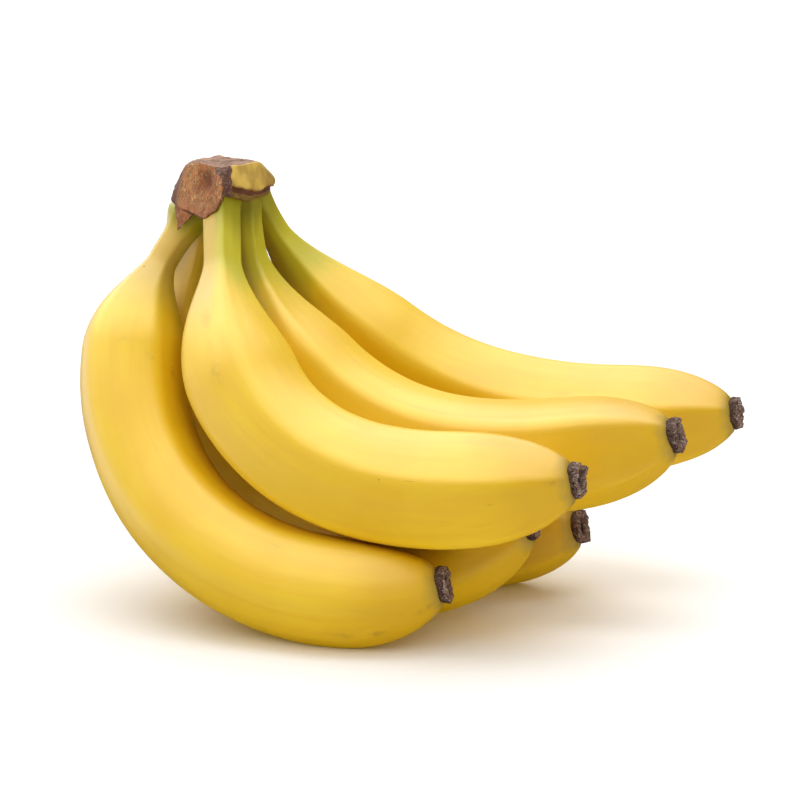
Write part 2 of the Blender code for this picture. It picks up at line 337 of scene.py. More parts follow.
def place(tree, kind, inputs=None, **settings):
    """Add a node, with its settings, and feed its inputs with sockets or plain values."""
    made = tree.nodes.new(kind)
    for name, value in settings.items():
        setattr(made, name, value)
    for key, value in (inputs or {}).items():
        if isinstance(value, bpy.types.NodeSocket):
            tree.links.new(value, made.inputs[key])
        else:
            made.inputs[key].default_value = value
    return made


def attribute(tree, name, output="Fac"):
    return place(tree, "ShaderNodeAttribute", attribute_name=name).outputs[output]


def sums(tree, operation, first, second=0.0):
    return place(tree, "ShaderNodeMath", {0: first, 1: second}, operation=operation).outputs[0]


def fade(tree, value, start, end):
    """A smooth mask that goes from 0 at `start` to 1 at `end`."""
    inputs = {"Value": value, "From Min": start, "From Max": end}
    return place(tree, "ShaderNodeMapRange", inputs, interpolation_type="SMOOTHSTEP").outputs["Result"]


def blend(tree, factor, first, second, mode="MIX"):
    inputs = {0: factor, 6: first, 7: second}
    return place(tree, "ShaderNodeMix", inputs, data_type="RGBA", blend_type=mode).outputs[2]


def tint(tree, colour, mask, share, over):
    """The colour with another one over it where the mask is, `share` strong at most."""
    return blend(tree, sums(tree, "MULTIPLY", mask, share), colour, over)


def stretch(tree, vector, scale):
    return place(tree, "ShaderNodeMapping", {"Vector": vector, "Scale": scale}).outputs["Vector"]


def new_group(name, inputs, outputs):
    """A shader node group with the named sockets, and its two end nodes."""
    tree = bpy.data.node_groups.new(name, "ShaderNodeTree")
    for label, (kind, value) in inputs.items():
        socket = tree.interface.new_socket(name=label, in_out="INPUT", socket_type=kind)
        if value is not None:
            socket.default_value = value
    for label in outputs:
        tree.interface.new_socket(name=label, in_out="OUTPUT", socket_type="NodeSocketFloat")
    return tree, tree.nodes.new("NodeGroupInput").outputs, tree.nodes.new("NodeGroupOutput").inputs


def patches_group():
    """Soft-edged patches of a noise: Share of the surface is covered, with edges as wide as Softness."""
    inputs = {
        "Vector": ("NodeSocketVector", None),
        "Scale": ("NodeSocketFloat", 1.0),
        "Detail": ("NodeSocketFloat", 2.0),
        "Distortion": ("NodeSocketFloat", 0.0),
        "Share": ("NodeSocketFloat", 0.5),
        "Softness": ("NodeSocketFloat", 0.2),
    }
    tree, given, result = new_group("soft patches", inputs, ["Mask"])
    field = place(tree, "ShaderNodeTexNoise", {
        "Vector": given["Vector"], "Scale": given["Scale"], "Detail": given["Detail"],
        "Distortion": given["Distortion"],
    }).outputs["Fac"]
    middle = sums(tree, "SUBTRACT", 1.0, given["Share"])
    low = sums(tree, "SUBTRACT", middle, given["Softness"])
    high = sums(tree, "ADD", middle, given["Softness"])
    tree.links.new(fade(tree, field, low, high), result["Mask"])
    return tree


def flecks_group():
    """Small round flecks: one in each cell of a grid, kept in Share of the cells, as wide as Size."""
    inputs = {
        "Vector": ("NodeSocketVector", None),
        "Scale": ("NodeSocketFloat", 1.0),
        "Share": ("NodeSocketFloat", 0.1),
        "Size": ("NodeSocketFloat", 0.1),
    }
    tree, given, result = new_group("flecks", inputs, ["Mask"])
    cells = place(tree, "ShaderNodeTexVoronoi", {"Vector": given["Vector"], "Scale": given["Scale"]})
    lot = place(tree, "ShaderNodeSeparateColor", {"Color": cells.outputs["Color"]}).outputs
    size = sums(tree, "MULTIPLY", given["Size"], sums(tree, "ADD", lot["Green"], 0.3))
    near = sums(tree, "SUBTRACT", 1.0, sums(tree, "DIVIDE", cells.outputs["Distance"], size))
    round_spot = fade(tree, near, 0.0, 0.6)
    kept = sums(tree, "LESS_THAN", lot["Red"], given["Share"])
    tree.links.new(sums(tree, "MULTIPLY", round_spot, kept), result["Mask"])
    return tree


def threads_group():
    """Thin wandering lines: where a noise passes its middle, as wide as Width."""
    inputs = {
        "Vector": ("NodeSocketVector", None),
        "Scale": ("NodeSocketFloat", 1.0),
        "Detail": ("NodeSocketFloat", 2.0),
        "Distortion": ("NodeSocketFloat", 1.0),
        "Width": ("NodeSocketFloat", 0.03),
    }
    tree, given, result = new_group("threads", inputs, ["Mask"])
    field = place(tree, "ShaderNodeTexNoise", {
        "Vector": given["Vector"], "Scale": given["Scale"], "Detail": given["Detail"],
        "Distortion": given["Distortion"],
    }).outputs["Fac"]
    away = sums(tree, "ABSOLUTE", sums(tree, "SUBTRACT", field, 0.5))
    tree.links.new(fade(tree, away, given["Width"], 0.0), result["Mask"])
    return tree


def use_group(tree, group, **values):
    made = tree.nodes.new("ShaderNodeGroup")
    made.node_tree = group
    for name, value in values.items():
        if isinstance(value, bpy.types.NodeSocket):
            tree.links.new(value, made.inputs[name])
        else:
            made.inputs[name].default_value = value
    return made.outputs["Mask"]


def new_material(name, roughness, specular):
    made = bpy.data.materials.new(name)
    made.use_nodes = True
    shader = made.node_tree.nodes["Principled BSDF"]
    shader.inputs["Roughness"].default_value = roughness
    shader.inputs["Specular IOR Level"].default_value = specular
    return made, made.node_tree, shader


def peel_material(patches, flecks):
    """Satin yellow peel: greener on the neck and towards the tip, mottled, flecked and lightly bruised."""
    made, tree, shader = new_material("banana peel", PEEL_ROUGHNESS, 0.42)
    straight = attribute(tree, "straight", "Vector")
    from_root = place(tree, "ShaderNodeSeparateXYZ", {"Vector": straight}).outputs["Z"]
    from_tip = attribute(tree, "from_tip")
    ridge = attribute(tree, "ridge")
    bruise = attribute(tree, "bruise")
    lengthwise = stretch(tree, straight, (1.0, 1.0, 0.07))

    clouds = use_group(tree, patches, Vector=straight, Scale=0.035, Detail=3.0, Share=0.5, Softness=0.22)
    colour = blend(tree, clouds, PEEL_DEEP, PEEL_LIGHT)
    streaks = use_group(tree, patches, Vector=lengthwise, Scale=0.32, Detail=4.0, Share=0.42, Softness=0.2)
    colour = tint(tree, colour, streaks, 0.45, PEEL_WARM)
    # Painted highlight along the crests of the ridges.
    edge = sums(tree, "MULTIPLY", fade(tree, ridge, 0.72, 1.0), 0.22)
    colour = blend(tree, edge, colour, PEEL_RIDGE_HIGHLIGHT)

    wander = use_group(tree, patches, Vector=lengthwise, Scale=0.2, Detail=2.0, Share=0.5, Softness=0.35)
    neck_run = sums(tree, "ADD", from_root, sums(tree, "MULTIPLY", wander, 8.0))
    colour = tint(tree, colour, fade(tree, neck_run, *NECK_YELLOW_RUN), 0.6, NECK_YELLOW)
    colour = tint(tree, colour, fade(tree, neck_run, *NECK_GREEN_RUN), 0.85, NECK_GREEN)
    colour = tint(tree, colour, fade(tree, neck_run, *NECK_OLIVE_RUN), 0.8, NECK_OLIVE)
    # Painted light: a paler tan on the left sides of the two front necks, the side the light falls on.
    colour = tint(tree, colour, attribute(tree, "painted_lit_tan"), 0.85, NECK_LIT_TAN)
    # Painted shade: olive-brown on the left sides of the other necks, where the fingers beside them shade
    # them.
    colour = tint(tree, colour, attribute(tree, "painted_shade"), 0.85, NECK_SHADE)

    tip_run = sums(tree, "ADD", from_tip, sums(tree, "MULTIPLY", wander, 10.0))
    colour = tint(tree, colour, fade(tree, tip_run, *TIP_GREEN_RUN), 0.8, TIP_GREEN)
    ragged = use_group(tree, patches, Vector=straight, Scale=0.3, Detail=2.0, Share=0.5, Softness=0.35)
    halo_run = sums(tree, "ADD", from_tip, sums(tree, "MULTIPLY", ragged, 1.6))
    colour = tint(tree, colour, fade(tree, halo_run, *TIP_HALO_RUN), 0.55, TIP_HALO)

    broken = use_group(tree, patches, Vector=straight, Scale=0.6, Detail=3.0, Share=0.55, Softness=0.2)
    colour = blend(tree, sums(tree, "MULTIPLY", bruise, broken), colour, BRUISE)
    dots = use_group(tree, flecks, Vector=straight, Scale=0.16, Share=0.09, Size=0.075)
    colour = tint(tree, colour, dots, 0.6, FLECK)
    specks = use_group(tree, flecks, Vector=lengthwise, Scale=0.6, Share=0.05, Size=0.1)
    colour = tint(tree, colour, specks, 0.35, FLECK)
    tree.links.new(colour, shader.inputs["Base Color"])

    dull = sums(tree, "ADD", sums(tree, "MULTIPLY", streaks, 0.08), PEEL_ROUGHNESS)
    dull = sums(tree, "ADD", dull, sums(tree, "MULTIPLY", bruise, 0.15))
    tree.links.new(dull, shader.inputs["Roughness"])
    pores = place(tree, "ShaderNodeTexNoise", {"Vector": straight, "Scale": 1.6, "Detail": 3.0})
    relief = sums(tree, "ADD", sums(tree, "MULTIPLY", pores.outputs["Fac"], 0.35), streaks)
    bump = place(tree, "ShaderNodeBump", {"Height": relief, "Strength": 0.16, "Distance": PORE_DEPTH})
    tree.links.new(bump.outputs["Normal"], shader.inputs["Normal"])
    return made


def crown_material(patches, threads):
    """Dry woody crown: a fibrous cut face, a dark band, a patch of olive skin and its torn margin."""
    made, tree, shader = new_material("woody crown", CROWN_ROUGHNESS, 0.25)
    spot = place(tree, "ShaderNodeTexCoord").outputs["Object"]
    in_mm = stretch(tree, spot, (1000.0, 1000.0, 1000.0))
    upright = stretch(tree, spot, (1000.0, 1000.0, 420.0))
    height = place(tree, "ShaderNodeSeparateXYZ", {"Vector": in_mm}).outputs["Z"]

    mottle = use_group(tree, patches, Vector=in_mm, Scale=0.4, Detail=4.0, Share=0.5, Softness=0.2)
    wide = use_group(tree, patches, Vector=in_mm, Scale=0.17, Detail=2.0, Share=0.45, Softness=0.15)
    wood = blend(tree, wide, WOOD_ORANGE, WOOD_BROWN)
    wood = tint(tree, wood, fade(tree, height, *SALMON_HEIGHTS), 0.85, WOOD_SALMON)
    wood = tint(tree, wood, mottle, 0.7, WOOD_DARK)
    lines = use_group(tree, threads, Vector=upright, Scale=0.7, Detail=4.0, Distortion=1.0, Width=0.04)
    fine = use_group(tree, threads, Vector=in_mm, Scale=1.2, Detail=4.0, Distortion=1.5, Width=0.04)
    fibres = sums(tree, "MAXIMUM", lines, sums(tree, "MULTIPLY", fine, 0.7))
    bare = use_group(tree, patches, Vector=in_mm, Scale=0.22, Detail=2.0, Share=0.65, Softness=0.2)
    bare = sums(tree, "MULTIPLY", bare, fade(tree, height, *FIBRE_HEIGHTS))
    bare = sums(tree, "MULTIPLY", bare, sums(tree, "SUBTRACT", 1.0, attribute(tree, "rim")))
    fibres = sums(tree, "MULTIPLY", fibres, sums(tree, "ADD", sums(tree, "MULTIPLY", bare, 0.7), 0.3))
    colour = tint(tree, wood, fibres, 0.9, WOOD_GOLD)
    colour = tint(tree, colour, attribute(tree, "hollow"), 0.85, WOOD_RED)
    colour = tint(tree, colour, attribute(tree, "rim"), 0.9, WOOD_RIM)
    colour = tint(tree, colour, attribute(tree, "shade"), 0.8, WOOD_SHADE)

    ash = use_group(tree, patches, Vector=in_mm, Scale=1.1, Detail=4.0, Share=0.42, Softness=0.1)
    rind = blend(tree, ash, RIND_DARK, RIND_ASH)
    colour = blend(tree, edge_mask(tree, patches, in_mm, "rind"), colour, rind)

    top = blend(tree, wide, TOP_PINK, RIND_DARK)
    top = tint(tree, top, lines, 0.4, WOOD_GOLD)
    colour = blend(tree, edge_mask(tree, patches, in_mm, "top"), colour, top)

    stripes = use_group(tree, patches, Vector=upright, Scale=0.3, Detail=2.0, Share=0.5, Softness=0.2)
    skin = blend(tree, stripes, SKIN_YELLOW, SKIN_OLIVE)
    scuffs = use_group(tree, patches, Vector=upright, Scale=0.5, Detail=4.0, Share=0.35, Softness=0.15)
    skin = tint(tree, skin, scuffs, 0.4, SKIN_TAN)
    skin = blend(tree, attribute(tree, "worn"), skin, SKIN_WORN)
    skin_mask = edge_mask(tree, patches, in_mm, "skin")
    colour = blend(tree, skin_mask, colour, skin)

    torn = blend(tree, mottle, MARGIN_RED, MARGIN_DARK)
    colour = blend(tree, edge_mask(tree, patches, in_mm, "margin"), colour, torn)
    strip = blend(tree, ash, STRIP_OLIVE, MARGIN_RED)
    colour = blend(tree, edge_mask(tree, patches, in_mm, "strip"), colour, strip)
    tree.links.new(colour, shader.inputs["Base Color"])

    smooth = sums(tree, "MULTIPLY", skin_mask, SKIN_SMOOTHER)
    tree.links.new(sums(tree, "ADD", smooth, CROWN_ROUGHNESS), shader.inputs["Roughness"])
    rough_relief = sums(tree, "SUBTRACT", fibres, mottle)
    relief = sums(tree, "MULTIPLY", rough_relief, sums(tree, "SUBTRACT", 1.0, skin_mask))
    bump = place(tree, "ShaderNodeBump", {"Height": relief, "Strength": 0.8, "Distance": FIBRE_DEPTH})
    tree.links.new(bump.outputs["Normal"], shader.inputs["Normal"])
    return made


def edge_mask(tree, patches, vector, name):
    """A painted mask whose edge wanders with the grain."""
    wander = use_group(tree, patches, Vector=vector, Scale=0.9, Detail=4.0, Share=0.5, Softness=0.3)
    pushed = sums(tree, "ADD", attribute(tree, name), sums(tree, "MULTIPLY", wander, 0.3))
    return fade(tree, pushed, 0.55, 0.8)


def blossom_material(patches, threads):
    """The dried flower end: a nearly black wall, and a crumpled mauve-brown face with an ash-grey rim."""
    made, tree, shader = new_material("dried blossom", 0.85, 0.2)
    spot = place(tree, "ShaderNodeTexCoord").outputs["Object"]
    in_mm = stretch(tree, spot, (1000.0, 1000.0, 1000.0))
    folds = use_group(
        tree, patches, Vector=in_mm, Scale=0.7, Detail=4.0, Distortion=1.0, Share=0.5, Softness=0.15,
    )
    wall = blend(tree, folds, BLOSSOM_DARK, BLOSSOM_BROWN)
    face = blend(tree, folds, BLOSSOM_BROWN, BLOSSOM_MAUVE)
    colour = blend(tree, attribute(tree, "face"), wall, face)
    # Ash-grey creases, most on the rim: partly the dried flower's own grey, partly a painted highlight.
    creases = use_group(tree, threads, Vector=in_mm, Scale=0.55, Detail=3.0, Distortion=2.0, Width=0.05)
    worn = sums(tree, "MULTIPLY", creases, sums(tree, "ADD", attribute(tree, "rim"), 0.25))
    colour = tint(tree, colour, worn, 0.8, BLOSSOM_ASH)
    # Painted shade: the hollow in the middle of the flower end is painted nearly black.
    colour = blend(tree, attribute(tree, "inside"), colour, BLOSSOM_HOLE_SHADE)
    tree.links.new(colour, shader.inputs["Base Color"])
    relief = sums(tree, "SUBTRACT", folds, creases)
    bump = place(tree, "ShaderNodeBump", {"Height": relief, "Strength": 0.8, "Distance": FIBRE_DEPTH})
    tree.links.new(bump.outputs["Normal"], shader.inputs["Normal"])
    return made


def natural_spline(knots, values, places):
    """Read the natural cubic spline through the values at each of the places."""
    knots = np.asarray(knots, float)
    values = np.asarray(values, float)
    step = np.diff(knots)
    slope = np.diff(values) / step
    system = np.eye(len(knots))
    right = np.zeros(len(knots))
    for k in range(1, len(knots) - 1):
        system[k, k - 1:k + 2] = step[k - 1], 2.0 * (step[k - 1] + step[k]), step[k]
        right[k] = 6.0 * (slope[k] - slope[k - 1])
    bend = np.linalg.solve(system, right)
    span = np.clip(np.searchsorted(knots, places, side="right") - 1, 0, len(knots) - 2)
    width = step[span]
    near = places - knots[span]
    far = knots[span + 1] - places
    cubic = (bend[span] * far ** 3 + bend[span + 1] * near ** 3) / (6.0 * width)
    left = (values[span] / width - bend[span] * width / 6.0) * far
    return cubic + left + (values[span + 1] / width - bend[span + 1] * width / 6.0) * near


def smooth_step(value, start, end):
    share = np.clip((value - start) / (end - start), 0.0, 1.0)
    return share * share * (3.0 - 2.0 * share)


def rounded(share, start_power, end_power):
    """A rise from 0 to 1 that starts and ends softly, by its two powers."""
    share = np.clip(share, 0.0, 1.0)
    return 1.0 - (1.0 - share ** start_power) ** end_power


class Spine:
    """The bent axis of a finger, read every millimetre: its centres, its directions and its radii."""

    def __init__(self, finger):
        self.finger = finger
        count = round(finger.length) + 1
        self.run = np.linspace(0.0, finger.length, count)
        part = self.run / finger.length
        heading = np.radians(finger.heading + finger.turn * (part - 0.5))
        pitch = np.radians(natural_spline(PITCH_PLACES, finger.pitches, part))
        lean = math.radians(finger.lean)
        ahead = np.stack([np.cos(heading), np.sin(heading), np.zeros(count)], axis=1)
        across = np.stack([-np.sin(heading), np.cos(heading), np.zeros(count)], axis=1)
        down = across * math.sin(lean) - np.array([0.0, 0.0, math.cos(lean)])
        self.along = np.cos(pitch)[:, None] * ahead + np.sin(pitch)[:, None] * down
        self.side = np.cross(ahead, down)
        self.out = np.cross(self.along, self.side)
        middles = (self.along[1:] + self.along[:-1]) / 2.0
        steps = np.cumsum(middles, axis=0) * (finger.length / (count - 1))
        self.centre = np.array(finger.root) + np.vstack([np.zeros(3), steps])
        self.reach_back()
        self.radius = self.girth_at(self.run)

    def reach_back(self):
        """Carry the spine on, straight, behind its root and up to the heart of the crown."""
        reach = max((self.centre[0][2] - CROWN_HEART) / self.along[0][2], ROOT_SUNK)
        first = self.centre[0] - self.along[0] * reach
        self.run = np.insert(self.run, 0, -reach)
        self.centre = np.vstack([first, self.centre])
        self.along = np.vstack([self.along[0], self.along])
        self.side = np.vstack([self.side[0], self.side])
        self.out = np.vstack([self.out[0], self.out])

    def girth_at(self, run):
        start, end = self.finger.shoulder
        swell = rounded((run - start) / (end - start), *SHOULDER_POWERS)
        body = self.finger.neck + (self.finger.girth - self.finger.neck) * swell
        close = rounded((self.finger.length - run) / TIP_TAPER, *TIP_POWERS)
        flare = 1.0 + NECK_FLARE * np.clip(1.0 - run / NECK_IN_CROWN, 0.0, 1.0) ** 2
        return (TIP_RADIUS + (body - TIP_RADIUS) * close) * flare

    def ridge_height(self, run):
        neck = 1.0 - smooth_step(run, self.finger.shoulder[0], self.finger.shoulder[1])
        tip = smooth_step(run, self.finger.length - TIP_TAPER, self.finger.length - 0.4 * TIP_TAPER)
        return RIDGE_ON_BODY + (RIDGE_ON_NECK - RIDGE_ON_BODY) * neck + (RIDGE_ON_TIP - RIDGE_ON_BODY) * tip

    def ridge_phase(self, run):
        """The angle of one of the ridges here, in radians: it twists a little on the neck."""
        twist = (self.finger.neck_ridge - self.finger.ridge) * np.clip(1.0 - run / NECK_TWIST_RUN, 0.0, 1.0)
        return np.radians(self.finger.ridge + twist)

    def read(self, values, run):
        return np.stack([np.interp(run, self.run, values[:, k]) for k in range(3)], axis=-1)

    def points(self, run, angle, radius):
        """Points at these angles round the spine, where zero is square to the plane of the bend."""
        side = self.read(self.side, run)
        out = self.read(self.out, run)
        return self.read(self.centre, run) + radius[..., None] * (
            np.cos(angle)[..., None] * side + np.sin(angle)[..., None] * out
        )


def ring_places(start, end):
    """Ring stations along a finger, closer together on the tapered tip."""
    taper = end - TIP_TAPER
    body_rings = round((taper - start) / RING_SPACING)
    tip_rings = round(TIP_TAPER / TIP_RING_SPACING)
    return np.concatenate([
        np.linspace(start, taper, body_rings, endpoint=False), np.linspace(taper, end, tip_rings + 1),
    ])


def extruded_rings(sides, count, painted):
    """A tube of `count` rings extruded from a circle, as a bmesh, its rings and its painted layers."""
    mesh = bmesh.new()
    kinds = {"FLOAT": mesh.verts.layers.float, "VECTOR": mesh.verts.layers.float_vector}
    layers = {name: kinds[kind].new(name) for name, kind in painted.items()}
    bmesh.ops.create_circle(mesh, segments=sides, radius=1.0)
    edges = list(mesh.edges)
    rings = [list(mesh.verts)]
    for _ in range(count - 1):
        grown = bmesh.ops.extrude_edge_only(mesh, edges=edges)["geom"]
        rings.append([item for item in grown if isinstance(item, bmesh.types.BMVert)])
        ring = set(rings[-1])
        edges = [item for item in grown if isinstance(item, bmesh.types.BMEdge)]
        edges = [edge for edge in edges if ring.issuperset(edge.verts)]
    return mesh, rings, layers


def press_apart(points, own, spines):
    """Where two fingers lean on each other, both are pressed flat, with a thin gap between them."""
    for spine in spines:
        if spine is own:
            continue
        away = points[:, None, :] - spine.centre[None, :, :]
        distance = np.linalg.norm(away, axis=2)
        clear = distance - spine.radius[None, :]
        nearest = np.argmin(clear, axis=1)
        rows = np.arange(len(points))
        gap = clear[rows, nearest]
        push = np.maximum(PRESS_GAP - gap, 0.0) / 2.0
        points = points + away[rows, nearest] / distance[rows, nearest][:, None] * push[:, None]
    return points


def uneven(points, size, seed):
    """A smooth, gentle noise at each of the points, between about -1 and 1."""
    shift = Vector((17.0 * seed, 5.0 * seed, 0.0))
    return np.array([noise.noise(Vector(point) / size + shift) for point in points])


def bruises(name, spine, run, angle):
    """How much each point is bruised by the marks of its finger."""
    total = np.zeros(len(angle))
    radius = np.interp(run, spine.run, spine.radius)
    for at_run, at_angle, half_length, half_width, strength in MARKS[name]:
        turned = (angle - math.radians(at_angle) + math.pi) % (2.0 * math.pi) - math.pi
        reach = ((run - at_run) / half_length) ** 2 + (turned * radius / half_width) ** 2
        total = np.maximum(total, strength * np.exp(-reach))
    return total


def left_side_mask(name, run, leftwards):
    """How much each point of a ring is on the coloured left side of its neck."""
    left_side, collar, strength = LEFT_SIDES[name]
    collar_start, collar_end = COLLAR_FADE
    mask = smooth_step(leftwards, *left_side)
    mask = mask * (1.0 - smooth_step(run, collar + collar_start, collar + collar_end))
    return mask * (strength * smooth_step(run, *LEFT_SIDE_START))


def nub(name, run, angle):
    """How much the cut top of the front neck adds to the radius at each point."""
    if name != "outer_front":
        return np.zeros(len(angle))
    off = (np.degrees(angle) - NUB[1] + 180.0) % 360.0 - 180.0
    return NUB[2] * np.exp(-((run - NUB[0]) / NUB_LENGTH) ** 2 - (off / NUB_WIDTH) ** 2)


def make_finger(name, spine, spines, order, look):
    """A finger, from the heart of the crown to its blunt end, flat where it stands on the floor."""
    places = ring_places(float(spine.run[0]), spine.finger.length)
    painted = {
        "straight": "VECTOR", "from_tip": "FLOAT", "ridge": "FLOAT",
        "bruise": "FLOAT", "painted_lit_tan": "FLOAT", "painted_shade": "FLOAT",
    }
    mesh, rings, layers = extruded_rings(SIDES, len(places), painted)
    riper = RIPER_BY.get(name, 0.0)
    for run, ring in zip(places, rings):
        angle = np.array([math.atan2(vert.co.y, vert.co.x) for vert in ring])
        twist = BODY_TWIST.get(name, 0.0) * smooth_step(run, NECK_TWIST_RUN, spine.finger.length)
        wave = RIDGE_COUNT * (angle - spine.ridge_phase(run) - math.radians(twist))
        crest = RIDGE_EDGE * np.cos(2.0 * wave) + RIDGE_CREST * np.cos(3.0 * wave)
        lift = (np.cos(wave) + crest) * spine.ridge_height(run) * RIDGE_SHARE[name]
        radius = np.interp(run, spine.run, spine.radius) * (1.0 + lift)
        where = np.full(SIDES, run)
        points = spine.points(where, angle, radius)
        radius = radius + UNEVEN * uneven(points, UNEVEN_SIZE, order) * smooth_step(run, *UNEVEN_FROM)
        height = float(np.interp(run, spine.run, spine.centre[:, 2]))
        radius = radius * (1.0 - HIDDEN_SHRINK * smooth_step(height, *HIDDEN_NECK)) + nub(name, run, angle)
        points = spine.points(where, angle, radius)
        leftwards = spine.points(where, angle, np.zeros(SIDES))[:, 0] - points[:, 0]
        on_left = left_side_mask(name, run, leftwards / radius)
        if run > NECK_IN_CROWN:
            points = press_apart(points, spine, spines)
        points[:, 2] = np.maximum(points[:, 2], 0.0)
        bruise = bruises(name, spine, where, angle)
        for k, vert in enumerate(ring):
            vert.co = points[k]
            unrolled_x = radius[k] * math.cos(angle[k]) + PATTERN_SHIFT * order
            vert[layers["straight"]] = (unrolled_x, radius[k] * math.sin(angle[k]), run + riper)
            vert[layers["from_tip"]] = spine.finger.length - run
            vert[layers["ridge"]] = 0.5 + 0.5 * math.cos(wave[k])
            vert[layers["bruise"]] = bruise[k]
            # The left sides of the necks: painted light on the two front fingers and painted shade on the
            # others.
            vert[layers["painted_lit_tan"]] = on_left[k] * (name in PAINTED_LIT_NECKS)
            vert[layers["painted_shade"]] = on_left[k] * (name not in PAINTED_LIT_NECKS)
    bmesh.ops.holes_fill(mesh, edges=mesh.edges, sides=0)
    bmesh.ops.recalc_face_normals(mesh, faces=mesh.faces)
    return finish(mesh, "peel_" + name, look, "finger_" + name)


def make_blossom_end(name, spine, order, look):
    """The dried flower end: a crumpled ragged cup with what is left of the flower in it."""
    painted = {"rim": "FLOAT", "face": "FLOAT", "inside": "FLOAT"}
    mesh, rings, layers = extruded_rings(BLOSSOM_SIDES, len(BLOSSOM_PROFILE), painted)
    end = spine.finger.length
    along = spine.along[-1]
    spike_at, spike_rise, spike_width = SPIKES[name]
    for k, ((share, height), ring) in enumerate(zip(BLOSSOM_PROFILE, rings)):
        on_rim = smooth_step(k, 2.0, BLOSSOM_RIM[0]) * (1.0 - smooth_step(k, BLOSSOM_RIM[1], 11.0))
        off_tip = min(1.0, k / 3.0)
        for vert in ring:
            angle = math.atan2(vert.co.y, vert.co.x)
            turn = Vector((math.cos(angle), math.sin(angle), 0.0))
            lobes = noise.noise(turn * 1.1 + Vector((order * 7.0, 0.0, 0.0)))
            rags = noise.noise(turn * 3.4 + Vector((order * 3.0, 9.0, 0.35 * k)))
            off = (math.degrees(angle) - spike_at + 180.0) % 360.0 - 180.0
            spike = spike_rise * math.exp(-(off / spike_width) ** 2)
            outline = 1.0 + BLOSSOM_LOBES * lobes * off_tip + BLOSSOM_RAGS * rags * on_rim
            radius = BLOSSOM_RADIUS * share * outline
            rise = height + (BLOSSOM_RAG * (rags + lobes) + spike) * on_rim
            spot = spine.points(np.array([end]), np.array([angle]), np.array([radius]))[0] + along * rise
            crumple = noise.turbulence_vector(Vector(spot) * 0.55, 3, False) * (0.3 + 0.7 * off_tip)
            vert.co = Vector(spot) + crumple * BLOSSOM_CRUMPLE
            vert[layers["rim"]] = on_rim
            vert[layers["face"]] = float(smooth_step(k, 3.5, 6.0))
            vert[layers["inside"]] = float(smooth_step(k, 8.5, 11.5))
    bmesh.ops.holes_fill(mesh, edges=mesh.edges, sides=0)
    bmesh.ops.recalc_face_normals(mesh, faces=mesh.faces)
    return finish(mesh, "blossom_" + name, look, "blossom_end_" + name)


def hull(corners):
    mesh = bmesh.new()
    for corner in corners:
        mesh.verts.new(corner)
    made = bmesh.ops.convex_hull(mesh, input=mesh.verts)
    loose = [item for item in made["geom_interior"] if isinstance(item, bmesh.types.BMVert)]
    bmesh.ops.delete(mesh, geom=loose, context="VERTS")
    bmesh.ops.recalc_face_normals(mesh, faces=mesh.faces)
    return mesh


def remeshed(mesh, grain):
    """The bmesh made again from even faces about `grain` millimetres wide."""
    data = bpy.data.meshes.new("rough")
    mesh.to_mesh(data)
    mesh.free()
    rough = bpy.data.objects.new("rough", data)
    bpy.context.scene.collection.objects.link(rough)
    modifier = rough.modifiers.new("even faces", "REMESH")
    modifier.mode = "VOXEL"
    modifier.voxel_size = grain
    modifier.adaptivity = 0.0
    bpy.context.view_layer.update()
    made = bmesh.new()
    made.from_object(rough, bpy.context.evaluated_depsgraph_get())
    bpy.data.objects.remove(rough, do_unlink=True)
    bpy.data.meshes.remove(data)
    return made


def read_table(table, place_at):
    return float(np.interp(place_at, [row[0] for row in table], [row[1] for row in table]))


def step(value, start, end):
    return float(smooth_step(value, start, end))


def crown_zones(spot, facing):
    """How much of each finish the crown has at a spot, by its turn round the axis, height and facing."""
    turn = math.degrees(math.atan2(spot.y - CROWN_AXIS.y, spot.x - CROWN_AXIS.x))
    turn += 2.0 * noise.noise(spot / 2.2)
    if turn > 130.0:
        turn -= 360.0
    cut_to = CUT_TO - BAND_CORNER * step(spot.z, *BAND_CORNER_HEIGHTS)
    in_cut = step(turn, CUT_FROM - 4.0, CUT_FROM + 4.0) * (1.0 - step(turn, cut_to - 3.0, cut_to + 2.0))
    in_cut = max(in_cut, step(LOW_CUT_HEIGHT - spot.z, 0.0, 1.0) * step(LOW_CUT_FRONT - spot.x, -0.5, 0.5))
    in_skin = step(turn, SKIN_FROM - 1.0, SKIN_FROM + 1.0) * (1.0 - step(turn, SKIN_TO - 8.0, SKIN_TO))
    in_skin *= 1.0 - in_cut
    top_edge = TOP_FACES_UP + TOP_OVER_SKIN * in_skin
    up = step(facing.z, top_edge - TOP_EDGE, top_edge + TOP_EDGE)
    foot = read_table(SKIN_FOOT, turn) + 0.25 * noise.noise(spot / 1.6)
    margin_foot = read_table(MARGIN_FOOT, turn) + 0.3 * noise.noise(spot / 1.3)
    above = step(spot.z, foot - 0.25, foot + 0.25)
    above_margin = step(spot.z, margin_foot - 0.3, margin_foot + 0.3)
    away = (spot - HOLLOW_AT).length / HOLLOW_WIDTH
    worn = max(step(turn, *WORN_TURNS) * 0.6, 1.0 - step(spot.z - foot, 0.0, 0.9))
    return {
        "top": up,
        "skin": in_skin * above * (1.0 - up),
        "worn": worn * in_skin,
        "margin": in_skin * (1.0 - above) * above_margin,
        "strip": in_skin * (1.0 - above_margin),
        "rind": (1.0 - in_cut) * (1.0 - in_skin) * (1.0 - up),
        "rim": in_cut * (1.0 - step(turn, RIM_TO - 8.0, RIM_TO + 6.0)),
        "shade": in_cut * step(-facing.z, 0.0, 0.55),
        "hollow": math.exp(-away ** 2) * in_cut,
        "cut": in_cut,
    }


def joined(meshes):
    """One bmesh with the faces of them all."""
    whole = bmesh.new()
    for mesh in meshes:
        data = bpy.data.meshes.new("piece")
        mesh.to_mesh(data)
        mesh.free()
        whole.from_mesh(data)
        bpy.data.meshes.remove(data)
    return whole


